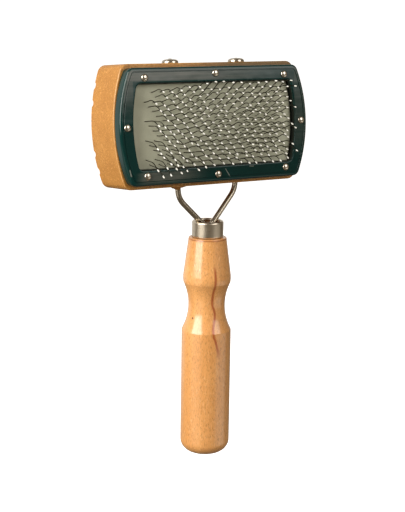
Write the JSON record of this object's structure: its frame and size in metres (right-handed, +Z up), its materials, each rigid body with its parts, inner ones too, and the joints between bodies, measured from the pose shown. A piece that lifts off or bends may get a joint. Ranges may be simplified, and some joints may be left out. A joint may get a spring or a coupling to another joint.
{
  "type": "slicker brush",
  "caption": "Wooden slicker brush: turned handle, wire fork and a wide head block whose rubber pad carries bent steel pins, clamped by a plastic frame.",
  "frame": {"origin": "centre of the small flat on the butt end of the handle, on the handle's axis", "axes": "+Z up along the handle towards the head, +X along the head's width, -Y the way the pins point, so +Y is the brush's back"},
  "size_m": [0.1224, 0.0496, 0.2292],
  "materials": {
    "handle_wood": "glossy clear lacquer over orange-tan wood",
    "block_wood": "satin, lightly sanded tan wood with fine flecks",
    "nickel": "bright nickel plate, slightly warm",
    "green_plastic": "very dark green, glossy moulded plastic",
    "pad_rubber": "matte grey-beige rubber sheet",
    "canvas": "plain woven cotton backing",
    "felt": "grey wool felt",
    "pin_steel": "bright drawn steel wire with ground points"
  },
  "bodies": {
    "root": {"handle": "handle_wood", "ferrule": "nickel", "fork_leg_left": "nickel", "fork_leg_right": "nickel", "head_block": "block_wood", "frame": "green_plastic", "felt_underlay": "felt", "canvas_backing": "canvas", "rubber_pad": "pad_rubber", "cap_washer_left": "nickel", "cap_washer_right": "nickel", "pin_row_01": "pin_steel", "pin_row_02": "pin_steel", "pin_row_03": "pin_steel", "pin_row_04": "pin_steel", "pin_row_05": "pin_steel", "pin_row_06": "pin_steel", "pin_row_07": "pin_steel", "pin_row_08": "pin_steel", "pin_row_09": "pin_steel", "pin_row_10": "pin_steel", "pin_row_11": "pin_steel", "pin_row_12": "pin_steel", "pin_row_13": "pin_steel", "pin_row_14": "pin_steel", "pin_row_15": "pin_steel", "pin_row_16": "pin_steel", "tack_top_left": "nickel", "tack_top_middle": "nickel", "tack_top_right": "nickel", "tack_left_end": "nickel", "tack_right_end": "nickel", "tack_bottom_left": "nickel", "tack_bottom_middle": "nickel", "tack_bottom_right": "nickel"}
  },
  "joints": []
}
